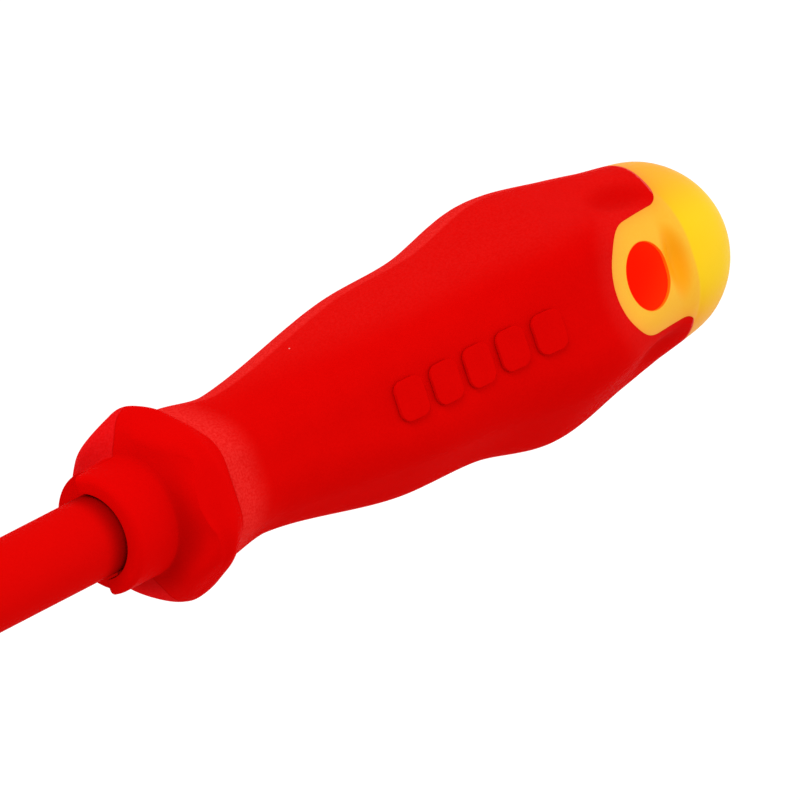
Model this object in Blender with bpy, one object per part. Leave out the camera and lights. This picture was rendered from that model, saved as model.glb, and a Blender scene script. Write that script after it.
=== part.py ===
"""An insulated slotted screwdriver for live work, in five moulded and forged pieces.

The blade is one steel bar with a slotted tip and two wings at its rear. A red sleeve insulates all
but its tip. Both are set in a hard core with a round collar and a hexagonal guard. A yellow cap
closes the core's rear round the hang hole, and a soft red grip covers the rest of the core.

The origin is the middle of the tip's end face. +X runs back along the blade to the handle's rear,
+Z along the hang hole, and +Y lies in the plane where the halves of the handle's mould meet.
"""

import math

import bmesh
import bpy
from mathutils import Matrix, Vector

# Blade, in metres
BLADE_REACH = 0.150  # tip to the front of the handle
BLADE_RADIUS = 0.00325
TIP_WIDTH = 0.0065
TIP_THICKNESS = 0.0012
TIP_STRAIGHT = 0.0025  # where the tip keeps its thickness
TIP_TAPER = 0.0095  # from there back to the round bar
BLADE_SEAT = 0.072  # length held inside the handle
WING_HEIGHT = 0.00195  # above the round bar
WING_THICKNESS = 0.0024
WING_LENGTH = 0.012
WING_END = 0.004  # from the wings back to the blade's rear end

# Insulating sleeve
BARE_TIP = 0.015  # bare metal, which the standard limits to 18 mm
SLEEVE_RADIUS = 0.0050
SLEEVE_SEAT = 0.034  # length held inside the handle
SLEEVE_NOSE = 0.0006  # rounding of the sleeve's front edge
ANCHOR_HEIGHT = 0.0009  # ring that keys the sleeve in the core
ANCHOR_LENGTH = 0.004

# Handle, each length behind the piece before it
COLLAR_RADIUS = 0.0075
COLLAR_LENGTH = 0.0081
COLLAR_ROUND = 0.0008
COLLAR_STEP = 0.0024  # the -Z half of the collar ends behind the +Z half
RELIEF_GAP = 0.0006  # half-round gap between sleeve and collar, on the +Z side
RELIEF_DEPTH = 0.0045
GUARD_EDGE = 0.0004  # guard's front face back to its front edge, at the flats
GUARD_EDGE_LEAN = 1.8  # how far the edge falls back towards the corners, for each unit out
GUARD_FRONT_SLOPE = 0.0031
GUARD_BAND = 0.0017  # the widest part, with six true flats
GUARD_REAR_SLOPE = 0.0024
GUARD_EDGE_FLAT = 0.0107  # axis to the flats
GUARD_FLAT = 0.0115
GUARD_EDGE_ROUNDING = 0.45  # corner radius as a share of the flat; 1 is a circle
GUARD_FRONT_ROUNDING = 0.45
GUARD_BACK_ROUNDING = 0.80
GRIP_FRONT = 0.0095  # axis to the flats where the grip starts
NECK_GAP = 0.0101  # guard to the narrowest place
NECK_FLAT = 0.0087
SHOULDER_GAP = 0.0222
SHOULDER_FLAT = 0.0117
WAIST_GAP = 0.0145
WAIST_FLAT = 0.0125
BULGE_GAP = 0.0128
BULGE_FLAT = 0.0143
HOLE_GAP = 0.0136
HOLE_FLAT = 0.0124
HOLE_RADIUS = 0.0042
DOME_GAP = 0.0104
DOME_RADIUS = 0.0116
SKIN = 0.0016  # thickness of grip and cap over the core
RING_WIDTH = 0.0029  # hang hole to the grip, round the notch
TONGUE_REACH = 0.0103  # hang hole's axis to the rear end of the grip's tongues
TONGUE_RADIUS = 0.0175  # curve of that end, seen along Y
SCOOP_RADIUS = 0.0050
SCOOP_PLACE = 0.0067  # behind the hang hole's axis
SCOOP_DEPTH = 0.0007  # below the dome's radius

CLEARANCE = 0.0003  # between pieces moulded on one another
SIDES = 48

# Radii that follow from others
ANCHOR_RADIUS = SLEEVE_RADIUS + ANCHOR_HEIGHT
RELIEF_RADIUS = SLEEVE_RADIUS + RELIEF_GAP
WING_REACH = BLADE_RADIUS + WING_HEIGHT
NOTCH_RADIUS = HOLE_RADIUS + RING_WIDTH

# Places along X
HANDLE_FRONT = BLADE_REACH
GUARD_FRONT = HANDLE_FRONT + COLLAR_LENGTH
GUARD_BAND_FRONT = GUARD_FRONT + GUARD_EDGE + GUARD_FRONT_SLOPE
GUARD_BAND_BACK = GUARD_BAND_FRONT + GUARD_BAND
GUARD_BACK = GUARD_BAND_BACK + GUARD_REAR_SLOPE
NECK = GUARD_BACK + NECK_GAP
SHOULDER = NECK + SHOULDER_GAP
WAIST = SHOULDER + WAIST_GAP
BULGE = WAIST + BULGE_GAP
HOLE = BULGE + HOLE_GAP
DOME = HOLE + DOME_GAP
HANDLE_END = DOME + DOME_RADIUS
BLADE_END = HANDLE_FRONT + BLADE_SEAT
SLEEVE_END = HANDLE_FRONT + SLEEVE_SEAT
WING_BACK = BLADE_END - WING_END
WING_FRONT = WING_BACK - WING_LENGTH

# Place, axis-to-flat distance and corner rounding (1 is a circle) along the grip and the cap
HANDLE_SHAPE = [
    (GUARD_BACK, GRIP_FRONT, 0.50),
    (NECK, NECK_FLAT, 0.80),
    (SHOULDER, SHOULDER_FLAT, 0.50),
    (WAIST, WAIST_FLAT, 0.65),
    (BULGE, BULGE_FLAT, 0.50),
    (HOLE, HOLE_FLAT, 0.45),
    (DOME, DOME_RADIUS, 1.00),
]


def clear_scene():
    for obj in list(bpy.data.objects):
        bpy.data.objects.remove(obj, do_unlink=True)


def finish(name, color, roughness, metallic=0.0):
    material = bpy.data.materials.new(name)
    material.use_nodes = True
    shader = material.node_tree.nodes["Principled BSDF"]
    shader.inputs["Base Color"].default_value = (*color, 1.0)
    shader.inputs["Roughness"].default_value = roughness
    shader.inputs["Metallic"].default_value = metallic
    return material


def hexagon_radius(angle, flat, rounding):
    """Distance from the axis to a hexagon with rounded corners. One corner points at angle 0."""
    arc = rounding * flat
    arc_centre = (flat - arc) / math.cos(math.radians(30))
    off_corner = abs((math.degrees(angle) + 30) % 60 - 30)
    turn = math.radians(off_corner)
    arc_ends = math.atan2(arc * 0.5, arc_centre + arc * math.cos(math.radians(30)))
    if turn >= arc_ends:
        return flat / math.cos(math.radians(30) - turn)
    return arc_centre * math.cos(turn) + math.sqrt(arc**2 - (arc_centre * math.sin(turn)) ** 2)


def ring(x, flat, rounding=1.0, lean=0.0, sides=SIDES):
    """Points of a section from +Y towards +Z. With no lean it is square to the axis."""
    points = []
    for step in range(sides):
        angle = 2 * math.pi * step / sides
        radius = hexagon_radius(angle, flat, rounding)
        back = lean * (radius - flat)
        points.append(Vector((x + back, radius * math.cos(angle), radius * math.sin(angle))))
    return points


def along_curve(places, values, x):
    """Value at x on a smooth curve through the values, level at both ends of the list."""
    slopes = [0.0]
    for before, after, low, high in zip(places, places[2:], values, values[2:]):
        slopes.append((high - low) / (after - before))
    slopes.append(0.0)
    index = max(i for i in range(len(places) - 1) if places[i] <= x or i == 0)
    span = places[index + 1] - places[index]
    t = (x - places[index]) / span
    rise = values[index + 1] - values[index]
    start = slopes[index] * span
    end = slopes[index + 1] * span
    return values[index] + t * start + t**2 * (3 * rise - 2 * start - end) + t**3 * (
        start + end - 2 * rise
    )


def handle_section(x):
    """Axis-to-flat distance and corner rounding of the handle's outside at x."""
    if x >= DOME:
        return math.sqrt(max(DOME_RADIUS**2 - (x - DOME) ** 2, 0.0)), 1.0
    places = [row[0] for row in HANDLE_SHAPE]
    flat = along_curve(places, [row[1] for row in HANDLE_SHAPE], x)
    rounding = along_curve(places, [row[2] for row in HANDLE_SHAPE], x)
    return flat, rounding


def handle_ring(x, inset):
    flat, rounding = handle_section(x)
    return ring(x, flat - inset, rounding)


def dome_rings(inset, steps):
    """Sections from the dome's widest place to near its pole, with the end point left out."""
    radius = DOME_RADIUS - inset
    angles = [math.pi / 2 * step / steps for step in range(steps)]
    return [ring(DOME + radius * math.sin(a), radius * math.cos(a)) for a in angles]


def spread(start, end, steps):
    return [start + (end - start) * step / steps for step in range(steps + 1)]


def loft(name, rings, material=None, closed=False):
    """Object through rings of equal length. Its ends are filled, or joined to each other."""
    mesh = bmesh.new()
    loops = [[mesh.verts.new(point) for point in points] for points in rings]
    pairs = list(zip(loops, loops[1:]))
    if closed:
        pairs.append((loops[-1], loops[0]))
    for first, second in pairs:
        for i in range(len(first)):
            j = (i + 1) % len(first)
            mesh.faces.new((first[i], first[j], second[j], second[i]))
    if not closed:
        mesh.faces.new(loops[0])
        mesh.faces.new(loops[-1])
    bmesh.ops.recalc_face_normals(mesh, faces=mesh.faces)
    return add_object(name, mesh, material)


def add_object(name, mesh, material=None):
    data = bpy.data.meshes.new(name)
    mesh.to_mesh(data)
    mesh.free()
    obj = bpy.data.objects.new(name, data)
    bpy.context.scene.collection.objects.link(obj)
    if material:
        data.materials.append(material)
        data.shade_smooth()
        data.set_sharp_from_angle(angle=math.radians(35))
    return obj


def extruded(name, outline, axis, reach):
    """Closed cutter: a flat outline pushed from -reach to +reach along axis."""
    mesh = bmesh.new()
    verts = [mesh.verts.new(Vector(point) - axis * reach) for point in outline]
    face = mesh.faces.new(verts)
    made = bmesh.ops.extrude_face_region(mesh, geom=[face])
    top = [item for item in made["geom"] if isinstance(item, bmesh.types.BMVert)]
    bmesh.ops.translate(mesh, verts=top, vec=axis * reach * 2)
    bmesh.ops.recalc_face_normals(mesh, faces=mesh.faces)
    return as_cutter(add_object(name, mesh))


def as_cutter(obj):
    obj.hide_render = True
    obj.display_type = "WIRE"
    return obj


def cut(obj, cutter, operation="DIFFERENCE"):
    modifier = obj.modifiers.new(cutter.name, "BOOLEAN")
    modifier.operation = operation
    modifier.solver = "EXACT"
    modifier.object = cutter


def box_cutter(name, low, high):
    mesh = bmesh.new()
    size = Vector(high) - Vector(low)
    middle = (Vector(high) + Vector(low)) / 2
    bmesh.ops.create_cube(mesh, size=1, matrix=Matrix.Translation(middle) @ Matrix.Diagonal((*size, 1)))
    return as_cutter(add_object(name, mesh))


def bar_ring(x, width, height, blend, sides):
    """Section between a circle of the blade's radius (blend 0) and a flat bar (blend 1)."""
    points = []
    for step in range(sides):
        angle = 2 * math.pi * (step + 0.5) / sides
        y, z = math.cos(angle), math.sin(angle)
        scale = 1 / max(abs(y) / (width / 2), abs(z) / (height / 2))
        circle = Vector((x, y * BLADE_RADIUS, z * BLADE_RADIUS))
        points.append(circle.lerp(Vector((x, y * scale, z * scale)), blend))
    return points


def make_blade(material):
    """Round bar, forged flat at the tip, with wings that stop it turning in the core."""
    sides = 32
    taper_end = TIP_STRAIGHT + TIP_TAPER
    rings = [bar_ring(x, TIP_WIDTH, TIP_THICKNESS, 1.0, sides) for x in (0.0, TIP_STRAIGHT)]
    for t in spread(0, 1, 6)[1:]:
        x = TIP_STRAIGHT + TIP_TAPER * t
        height = TIP_THICKNESS + (2 * BLADE_RADIUS - TIP_THICKNESS) * t
        rings.append(bar_ring(x, TIP_WIDTH, height, (1 - t**2), sides))
    rings += [bar_ring(x, 1.0, 1.0, 0.0, sides) for x in spread(taper_end, WING_FRONT, 3)[1:]]
    for x in (WING_FRONT + WING_HEIGHT, WING_BACK - WING_HEIGHT):
        rings.append(bar_ring(x, WING_REACH * 2, WING_THICKNESS, 1.0, sides))
    rings += [bar_ring(x, 1.0, 1.0, 0.0, sides) for x in (WING_BACK, BLADE_END)]
    return loft("blade", rings, material)


def make_sleeve(material):
    """Insulating tube with a rounded front edge and an anchor ring inside the core."""
    sides = 36
    inner = BLADE_RADIUS + CLEARANCE
    anchor_front = SLEEVE_END - ANCHOR_LENGTH
    outer = [
        (BARE_TIP, SLEEVE_RADIUS - SLEEVE_NOSE),
        (BARE_TIP + SLEEVE_NOSE * 0.3, SLEEVE_RADIUS - SLEEVE_NOSE * 0.3),
        (BARE_TIP + SLEEVE_NOSE, SLEEVE_RADIUS),
        (anchor_front - ANCHOR_HEIGHT, SLEEVE_RADIUS),
        (anchor_front, ANCHOR_RADIUS),
        (SLEEVE_END, ANCHOR_RADIUS),
    ]
    bore = [(SLEEVE_END, inner), (BARE_TIP, inner)]
    rings = [ring(x, radius, sides=sides) for x, radius in outer + bore]
    return loft("blade_insulation", rings, material, closed=True)


def core_outside():
    """Core sections from its rounded rear to the collar's front edge."""
    under = SKIN + CLEARANCE
    rings = dome_rings(under, 6)[::-1]
    rings += [handle_ring(x, under) for x in spread(DOME, GUARD_BACK, 22)[1:]]
    rings += [
        handle_ring(GUARD_BACK, 0.0),
        ring(GUARD_BAND_BACK, GUARD_FLAT, GUARD_BACK_ROUNDING),
        ring(GUARD_BAND_FRONT, GUARD_FLAT, GUARD_FRONT_ROUNDING),
        ring(GUARD_FRONT + GUARD_EDGE, GUARD_EDGE_FLAT, GUARD_EDGE_ROUNDING, GUARD_EDGE_LEAN),
        ring(GUARD_FRONT, COLLAR_RADIUS),
    ]
    for angle in (0, 30, 60, 90):
        back = COLLAR_ROUND * (1 - math.sin(math.radians(angle)))
        down = COLLAR_ROUND * (1 - math.cos(math.radians(angle)))
        rings.append(ring(HANDLE_FRONT + back, COLLAR_RADIUS - down))
    return rings


def core_bore():
    """Bore sections from the collar's front to the blind end behind the blade."""
    sleeve = SLEEVE_RADIUS + CLEARANCE
    anchor = ANCHOR_RADIUS + CLEARANCE
    blade = BLADE_RADIUS + CLEARANCE
    anchor_front = SLEEVE_END - ANCHOR_LENGTH
    steps = [
        (HANDLE_FRONT, sleeve),
        (anchor_front - ANCHOR_HEIGHT - CLEARANCE, sleeve),
        (anchor_front - CLEARANCE, anchor),
        (SLEEVE_END + CLEARANCE, anchor),
        (SLEEVE_END + CLEARANCE, blade),
        (BLADE_END + CLEARANCE, blade),
    ]
    return [ring(x, radius) for x, radius in steps]


def hang_hole_cutter(name):
    outline = [(HOLE + p.y, p.z, 0.0) for p in ring(0.0, HOLE_RADIUS)]
    return extruded(name, outline, Vector((0, 0, 1)), BULGE_FLAT * 2)


def make_core(material):
    """Hard moulding: collar, guard and the body under the grip, bored for blade and sleeve."""
    core = loft("handle_core", core_outside() + core_bore(), material)
    half_span = WING_REACH + CLEARANCE
    half_height = WING_THICKNESS / 2 + CLEARANCE
    wings = box_cutter(
        "wing_pocket_cutter",
        (WING_FRONT - CLEARANCE, -half_span, -half_height),
        (WING_BACK + CLEARANCE, half_span, half_height),
    )
    relief = ring(0.0, RELIEF_RADIUS)[1 : SIDES // 2]
    relief_rings = []
    for x in (HANDLE_FRONT - COLLAR_LENGTH / 2, HANDLE_FRONT + RELIEF_DEPTH):
        relief_rings.append([Vector((x, p.y, p.z)) for p in relief])
    half_round = as_cutter(loft("collar_relief_cutter", relief_rings))
    lower_half = box_cutter(
        "collar_step_cutter",
        (HANDLE_FRONT - COLLAR_LENGTH / 2, -COLLAR_RADIUS * 1.5, -COLLAR_RADIUS * 1.5),
        (HANDLE_FRONT + COLLAR_STEP, COLLAR_RADIUS * 1.5, 0.0),
    )
    cut(core, wings)
    cut(core, lower_half)
    cut(core, half_round)
    cut(core, hang_hole_cutter("core_hole_cutter"))
    return core


def grip_zone(name, grow):
    """Space that the grip fills seen square to its surface: round behind, notched at the hole."""
    radius = TONGUE_RADIUS + grow
    centre = HOLE + TONGUE_REACH - TONGUE_RADIUS
    outline = [(HANDLE_FRONT, 0.0, -radius)]
    outline += [
        (centre + radius * math.cos(a), 0.0, radius * math.sin(a))
        for a in spread(-math.pi / 2, math.pi / 2, 25)
    ]
    outline += [(HANDLE_FRONT, 0.0, radius)]
    zone = extruded(name, outline, Vector((0, 1, 0)), BULGE_FLAT * 2)
    notch = NOTCH_RADIUS - grow
    slot_outline = [
        (HOLE + notch * math.cos(a), notch * math.sin(a), 0.0)
        for a in spread(math.pi / 2, 3 * math.pi / 2, 21)
    ]
    slot_outline += [(HANDLE_END, -notch, 0.0), (HANDLE_END, notch, 0.0)]
    slot = extruded(name + "_notch", slot_outline, Vector((0, 0, 1)), BULGE_FLAT * 3)
    cut(zone, slot)
    return zone


def make_grip(material):
    """Soft sleeve over the core, with a tongue on each side of the cap."""
    places = spread(GUARD_BACK + CLEARANCE, DOME, 24)
    outer = [handle_ring(x, 0.0) for x in places]
    inner = [handle_ring(x, SKIN) for x in places]
    outer += dome_rings(0.0, 6)[1:4]
    inner += dome_rings(SKIN, 6)[1:4]
    grip = loft("soft_grip", outer + inner[::-1], material, closed=True)
    cut(grip, grip_zone("grip_zone_cutter", 0.0), "INTERSECT")
    return grip


def make_cap(material):
    """Domed shell over the core's rear, with a ring round each mouth of the hang hole."""
    front = HOLE - NOTCH_RADIUS - CLEARANCE
    places = spread(DOME, front, 8)[1:]
    outer = dome_rings(0.0, 8)[::-1] + [handle_ring(x, 0.0) for x in places]
    inner = dome_rings(SKIN, 8)[::-1] + [handle_ring(x, SKIN) for x in places]
    cap = loft("end_cap", outer + inner[::-1], material)
    cut(cap, grip_zone("cap_zone_cutter", CLEARANCE))
    cut(cap, hang_hole_cutter("cap_hole_cutter"))
    for side, word in ((1, "top"), (-1, "bottom")):
        centre = (HOLE + SCOOP_PLACE, 0.0, side * (DOME_RADIUS - SCOOP_DEPTH + SCOOP_RADIUS))
        outline = [
            (centre[0] + p.y, 0.0, centre[2] + p.z) for p in ring(0.0, SCOOP_RADIUS)
        ]
        cut(cap, extruded(f"scoop_{word}_cutter", outline, Vector((0, 1, 0)), BULGE_FLAT * 2))
    return cap


def main():
    clear_scene()
    make_blade(finish("blade_steel", (0.56, 0.57, 0.58), 0.28, 1.0))
    make_sleeve(finish("sleeve_red", (0.66, 0.006, 0.006), 0.42))
    make_core(finish("core_red", (0.68, 0.004, 0.005), 0.38))
    make_grip(finish("grip_red", (0.62, 0.004, 0.006), 0.62))
    make_cap(finish("cap_yellow", (0.95, 0.46, 0.02), 0.36))


main()
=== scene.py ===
# %% [markdown]
# # An insulated screwdriver
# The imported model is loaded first. It fixes where every piece goes: the tip of the blade is at the
# origin, +X runs back to the handle's rear, +Z runs through the hang hole, and +Y lies in the plane
# where the two halves of the handle's mould met. The lesson models each visible piece afresh, finer
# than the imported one, and gives it a finish.

# %% Load the fixed frame
import math

import bmesh
import bpy
from mathutils import Matrix, Vector
from mathutils.kdtree import KDTree


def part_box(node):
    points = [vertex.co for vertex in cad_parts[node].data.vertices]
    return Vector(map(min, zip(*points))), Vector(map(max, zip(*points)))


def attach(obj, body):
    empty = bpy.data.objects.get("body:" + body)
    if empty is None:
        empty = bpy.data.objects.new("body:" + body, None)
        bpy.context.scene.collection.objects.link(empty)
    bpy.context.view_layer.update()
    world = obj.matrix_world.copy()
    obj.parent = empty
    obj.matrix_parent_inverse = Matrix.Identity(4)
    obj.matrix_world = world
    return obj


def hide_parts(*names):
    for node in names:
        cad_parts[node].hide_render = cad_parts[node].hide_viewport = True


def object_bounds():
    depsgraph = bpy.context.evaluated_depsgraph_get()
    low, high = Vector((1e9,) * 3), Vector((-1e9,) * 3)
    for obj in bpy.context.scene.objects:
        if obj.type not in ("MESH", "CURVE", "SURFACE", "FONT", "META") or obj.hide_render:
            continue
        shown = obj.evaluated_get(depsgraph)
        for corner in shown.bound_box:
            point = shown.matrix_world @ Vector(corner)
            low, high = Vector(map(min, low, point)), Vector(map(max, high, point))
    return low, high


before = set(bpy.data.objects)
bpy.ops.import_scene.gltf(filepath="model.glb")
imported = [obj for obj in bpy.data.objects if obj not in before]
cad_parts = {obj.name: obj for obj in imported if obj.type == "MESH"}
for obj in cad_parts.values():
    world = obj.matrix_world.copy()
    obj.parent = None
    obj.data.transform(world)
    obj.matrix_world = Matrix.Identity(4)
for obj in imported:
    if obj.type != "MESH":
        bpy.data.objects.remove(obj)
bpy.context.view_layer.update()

MM = 0.001
HANDLE_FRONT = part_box("handle_core")[0].x
BLADE_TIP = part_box("blade")[0].x
BLADE_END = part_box("blade")[1].x
SLEEVE_FRONT, SLEEVE_END = (corner.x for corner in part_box("blade_insulation"))
print("nodes", sorted(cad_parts), "handle starts at", round(HANDLE_FRONT, 4))

# %% [markdown]
# ## Sizes
# The handle is described as a designer would draw it: at a few stations along its length, how far
# the flats of its hexagon lie from the axis and how round its corners are. A rounding of 1 makes
# the hexagon a circle. Places are in metres behind the handle's front.

# %% Stations of the handle
COLLAR_RADIUS = 7.5 * MM
COLLAR_STEP = 2.4 * MM
GUARD_FACE = 7.3 * MM
GUARD_BACK = 15.3 * MM
HOLE = 88.9 * MM
HOLE_RADIUS = 4.2 * MM
CREASE = 97.5 * MM
DOME_CENTRE = 98.6 * MM
HANDLE_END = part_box("end_cap")[1].x - HANDLE_FRONT
DOME_RADIUS = 11.62 * MM
SKIN = 1.6 * MM
SEAM = 0.02 * MM
SIDES = 144
NEAR = 0.01 * MM

# place, axis to flat, corner rounding, and how far a section leans back towards its corners
GUARD_STATIONS = [
    (8.0 * MM, 10.7 * MM, 0.45, 1.8),
    (11.2 * MM, 11.4 * MM, 0.50, 0.5),
    (13.0 * MM, 11.4 * MM, 0.80, 0.0),
    (GUARD_BACK, 9.5 * MM, 0.50, 0.0),
]
GRIP_STATIONS = [
    (GUARD_BACK, 9.5 * MM, 0.50),
    (25.8 * MM, 8.7 * MM, 0.80),
    (48.0 * MM, 11.7 * MM, 0.50),
    (62.5 * MM, 12.5 * MM, 0.65),
    (75.3 * MM, 14.3 * MM, 0.50),
    (HOLE, 12.4 * MM, 0.45),
    (CREASE, 11.5 * MM, 0.86),
]


def along(stations, column, x):
    """Value of one column at x, on a smooth curve through the stations."""
    places = [row[0] for row in stations]
    values = [row[column] for row in stations]
    slopes = [0.0]
    for before, after, low, high in zip(places, places[2:], values, values[2:]):
        slopes.append((high - low) / (after - before))
    slopes.append((values[-1] - values[-2]) / (places[-1] - places[-2]))
    index = max(i for i in range(len(places) - 1) if places[i] <= x or i == 0)
    span = places[index + 1] - places[index]
    t = min(max((x - places[index]) / span, 0.0), 1.0)
    rise = values[index + 1] - values[index]
    start, end = slopes[index] * span, slopes[index + 1] * span
    return values[index] + t * start + t**2 * (3 * rise - 2 * start - end) + t**3 * (
        start + end - 2 * rise
    )


def hexagon_radius(angle, flat, rounding):
    """Axis to surface of a hexagon with round corners. A corner points at angle 0, along +Y."""
    arc = min(rounding, 1.0) * flat
    centre = (flat - arc) / math.cos(math.radians(30))
    turn = math.radians(abs((math.degrees(angle) + 30) % 60 - 30))
    if turn >= math.atan2(arc * 0.5, centre + arc * math.cos(math.radians(30))):
        return flat / math.cos(math.radians(30) - turn)
    return centre * math.cos(turn) + math.sqrt(arc**2 - (centre * math.sin(turn)) ** 2)


for place in (20, 40, 60, 80):
    print(place, "mm: flat at", round(along(GRIP_STATIONS, 1, place * MM) / MM, 2), "mm")

# %% [markdown]
# The rear of the handle has two more features on each of its broad sides. The pad round the hang
# hole ends at a crease where the dome begins, and a shallow scoop lets a cord lie behind the hole.
# Each tongue of the grip has a hollow for a fingertip. A dent that fades out smoothly is easiest
# as a small drop of the surface, so it belongs to the same rule that gives the section.

# %% The surface of grip and cap
SCOOP_PLACE = 94.9 * MM
SCOOP_HALF_LENGTH = 2.4 * MM
SCOOP_HALF_WIDTH = 5.6 * MM
SCOOP_DEPTH = 0.8 * MM
HOLLOW_PLACE = 91.5 * MM
HOLLOW_TURN = 37
HOLLOW_HALF_LENGTH = 6.0 * MM
HOLLOW_HALF_WIDTH = 3.4 * MM
HOLLOW_DEPTH = 0.7 * MM
PAD_DROP = 0.8 * MM
PAD_EDGE = (12.5 * MM, 6.5 * MM)  # from the hang hole's axis: where the drop begins and is full
PAD_FADE = 3.5 * MM  # in front of the crease
DOME_BLEND = 4 * MM
SOFT_SINES = (0.45, 0.80)
SOFT_REACH = 2 * MM
SOFT_OFFSETS = [off * MM for off in range(-3, 4)]


def step(value, low, high):
    """Smooth step from 0 at low to 1 at high."""
    t = min(max((value - low) / (high - low), 0.0), 1.0)
    return t * t * (3 - 2 * t)


def dent(depth, along_off, across_off):
    """A smooth dent. Both offsets are shares of its half sizes."""
    off = math.hypot(along_off, across_off)
    return depth * math.cos(off * math.pi / 2) ** 2 if off < 1 else 0.0


def dents(x, radius, angle):
    """How much lower the surface is round the hang hole, in the scoops and in the hollows."""
    across = radius * math.cos(angle) / SCOOP_HALF_WIDTH
    drop = dent(SCOOP_DEPTH, (x - SCOOP_PLACE) / SCOOP_HALF_LENGTH, across)
    off_hole = math.hypot(x - HOLE, radius * math.cos(angle))
    drop += PAD_DROP * step(off_hole, *PAD_EDGE) * step(x, CREASE, CREASE - PAD_FADE)
    quarter = abs(abs(math.degrees(angle)) % 180 - 90)
    around = radius * math.radians(90 - quarter - HOLLOW_TURN)
    along_off = (x - HOLLOW_PLACE) / HOLLOW_HALF_LENGTH
    return drop + dent(HOLLOW_DEPTH, along_off, around / HOLLOW_HALF_WIDTH)


def dome_radius(x):
    """Radius of the dome, which is half an ellipse seen from the side."""
    share = (x - DOME_CENTRE) / (HANDLE_END - DOME_CENTRE)
    return DOME_RADIUS * math.sqrt(max(1 - share**2, 0.0))


def rough_radius(x, angle):
    """Axis to surface, before the handle's edges are softened."""
    place = min(x, CREASE)
    flat = along(GRIP_STATIONS, 1, place)
    radius = hexagon_radius(angle, flat, along(GRIP_STATIONS, 2, place))
    radius -= dents(place, radius, angle)
    if x <= CREASE:
        return radius
    left = 1 - step(x, CREASE, CREASE + DOME_BLEND)
    return dome_radius(x) + (radius - dome_radius(CREASE)) * left


def handle_radius(x, angle):
    """Axis to the outside of grip and cap. The edges of the handle run into the dome softly."""
    radius = rough_radius(x, angle)
    soft = 1 - step(abs(math.sin(angle)), *SOFT_SINES)
    soft *= step(x, HOLE - SOFT_REACH, HOLE + SOFT_REACH)
    soft *= 1 - step(x, CREASE + SOFT_REACH, CREASE + 3 * SOFT_REACH)
    if soft == 0:
        return radius
    near = [rough_radius(x + off, angle) for off in SOFT_OFFSETS]
    return radius + (sum(near) / len(near) - radius) * soft


print("radius at the crease", round(handle_radius(CREASE, 0.0) / MM, 2), "mm")

# %% [markdown]
# ## Helpers
# A long body with a changing section is drawn ring by ring: a circle is added, put on the first
# section, and its edge is extruded back to the next one, again and again. Blender's operators work
# on what is selected, so everything is deselected before a new piece begins.

# %% Working on one object at a time
def only(piece):
    bpy.ops.object.select_all(action="DESELECT")
    piece.select_set(True)
    bpy.context.view_layer.objects.active = piece


def edit(piece):
    only(piece)
    bpy.ops.object.mode_set(mode="EDIT")
    return bmesh.from_edit_mesh(piece.data)


def leave_edit():
    bpy.ops.object.mode_set(mode="OBJECT")


def settle(piece):
    """Puts the piece's place and turn into its mesh."""
    only(piece)
    bpy.ops.object.transform_apply(location=True, rotation=True, scale=True)
    return piece


def close_edit():
    """Turns all faces outward and leaves edit mode."""
    bpy.ops.mesh.select_all(action="SELECT")
    bpy.ops.mesh.normals_make_consistent(inside=False)
    leave_edit()


def apply_modifier(piece, kind, **settings):
    only(piece)
    modifier = piece.modifiers.new(kind.lower(), kind)
    for name, value in settings.items():
        setattr(modifier, name, value)
    bpy.ops.object.modifier_apply(modifier=modifier.name)


def pick(mesh, wanted, kind="verts"):
    """Selects the points, edges or faces that wanted() accepts, by their middle."""
    for vert in mesh.verts:
        vert.select = False
    for edge in mesh.edges:
        edge.select = False
    for face in mesh.faces:
        face.select = False
    for item in getattr(mesh, kind):
        points = [item.co] if kind == "verts" else [vert.co for vert in item.verts]
        if wanted(sum(points, Vector()) / len(points)):
            item.select_set(True)
    mesh.select_flush_mode()


# %% Drawing a body ring by ring
def place_ring(piece, section):
    """Puts the selected ring on a section, a function from an angle to a point."""
    mesh = bmesh.from_edit_mesh(piece.data)
    for vert in mesh.verts:
        if vert.select:
            vert.co = section(math.atan2(vert.co.z, vert.co.y))
    bmesh.update_edit_mesh(piece.data)


def ringed(name, sections, close_front=False, close_back=False, sides=SIDES):
    """Body through the sections. An end can be filled with a face."""
    bpy.ops.object.select_all(action="DESELECT")
    bpy.ops.mesh.primitive_circle_add(
        vertices=sides, radius=MM, rotation=(0, math.pi / 2, 0), enter_editmode=False
    )
    piece = bpy.context.object
    piece.name = piece.data.name = name
    settle(piece)
    edit(piece)
    bpy.ops.mesh.select_all(action="SELECT")
    place_ring(piece, sections[0])
    if close_front:
        bpy.ops.mesh.edge_face_add()
    for section in sections[1:]:
        if close_front and section is sections[1]:
            bpy.ops.mesh.select_all(action="SELECT")
            bpy.ops.mesh.extrude_region_move(TRANSFORM_OT_translate={"value": (MM, 0, 0)})
            mesh = bmesh.from_edit_mesh(piece.data)
            end = [face for face in mesh.faces if face.select]
            bmesh.ops.delete(mesh, geom=end, context="FACES_ONLY")
            bmesh.update_edit_mesh(piece.data)
        else:
            bpy.ops.mesh.extrude_edges_move(TRANSFORM_OT_translate={"value": (MM, 0, 0)})
        place_ring(piece, section)
    if close_back:
        bpy.ops.mesh.edge_face_add()
    close_edit()
    return piece


def polar(x, radius, angle):
    """Point at x behind the handle's front. Its angle round the axis counts from +Y."""
    return Vector((HANDLE_FRONT + x, radius * math.cos(angle), radius * math.sin(angle)))


def circle_section(x, radius):
    return lambda angle: polar(x, radius, angle)


def hexagon_section(x, flat, rounding, lean=0.0):
    def section(angle):
        radius = hexagon_radius(angle, flat, rounding)
        return polar(x + lean * (radius - flat), radius, angle)

    return section


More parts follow.
